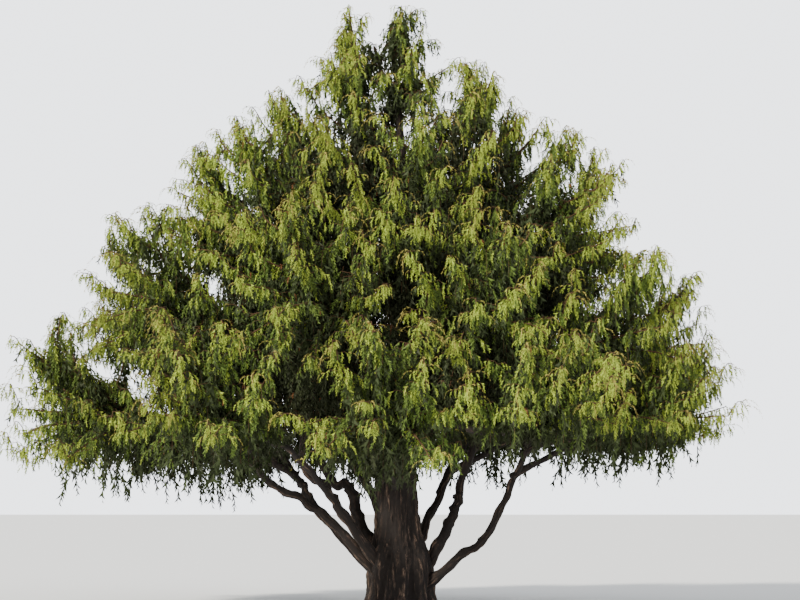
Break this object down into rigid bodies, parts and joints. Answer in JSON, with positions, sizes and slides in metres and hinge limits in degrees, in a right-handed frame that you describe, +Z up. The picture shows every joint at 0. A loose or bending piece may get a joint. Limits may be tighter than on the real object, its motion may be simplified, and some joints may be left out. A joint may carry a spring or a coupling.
{
  "type": "juniper tree",
  "caption": "Broad, dense weeping juniper with several fluted stems from one stout foot and tiers of arching boughs that carry long hanging sprays of needles.",
  "frame": {"origin": "middle of the flat cut under the trunk, at ground level", "axes": "+X to the right as seen from the front, +Y to the back, +Z up the trunk"},
  "size_m": [11.2027, 10.9791, 9.5006],
  "materials": {
    "bark": "rough, stringy, dark red-brown bark, paler at the foot",
    "needles": "matt hanging sprays of fine needles, yellow-green in the light and deep green inside"
  },
  "bodies": {
    "root": {"bough_low_1": "bark", "bough_low_10": "bark", "bough_low_11": "bark", "bough_low_2": "bark", "bough_low_3": "bark", "bough_low_4": "bark", "bough_low_5": "bark", "bough_low_6": "bark", "bough_low_7": "bark", "bough_low_8": "bark", "bough_low_9": "bark", "bough_middle_1": "bark", "bough_middle_3": "bark", "bough_middle_8": "bark", "foliage_high_1": "needles", "foliage_high_2": "needles", "foliage_high_3": "needles", "foliage_high_4": "needles", "foliage_high_5": "needles", "foliage_low_1": "needles", "foliage_low_10": "needles", "foliage_low_11": "needles", "foliage_low_2": "needles", "foliage_low_3": "needles", "foliage_low_4": "needles", "foliage_low_5": "needles", "foliage_low_6": "needles", "foliage_low_7": "needles", "foliage_low_8": "needles", "foliage_low_9": "needles", "foliage_middle_1": "needles", "foliage_middle_2": "needles", "foliage_middle_3": "needles", "foliage_middle_4": "needles", "foliage_middle_5": "needles", "foliage_middle_6": "needles", "foliage_middle_7": "needles", "foliage_middle_8": "needles", "foliage_middle_9": "needles", "foliage_top_1": "needles", "foliage_top_2": "needles", "foliage_top_3": "needles", "foliage_upper_1": "needles", "foliage_upper_2": "needles", "foliage_upper_3": "needles", "foliage_upper_4": "needles", "foliage_upper_5": "needles", "foliage_upper_6": "needles", "foliage_upper_7": "needles", "leader_left": "bark", "stem_back_left": "bark", "stem_back_right": "bark", "stem_left_inner": "bark", "stem_left_low": "bark", "stem_left_outer": "bark", "stem_left_thick": "bark", "stem_right_outer": "bark", "stem_right_thick": "bark", "trunk": "bark"}
  },
  "joints": []
}
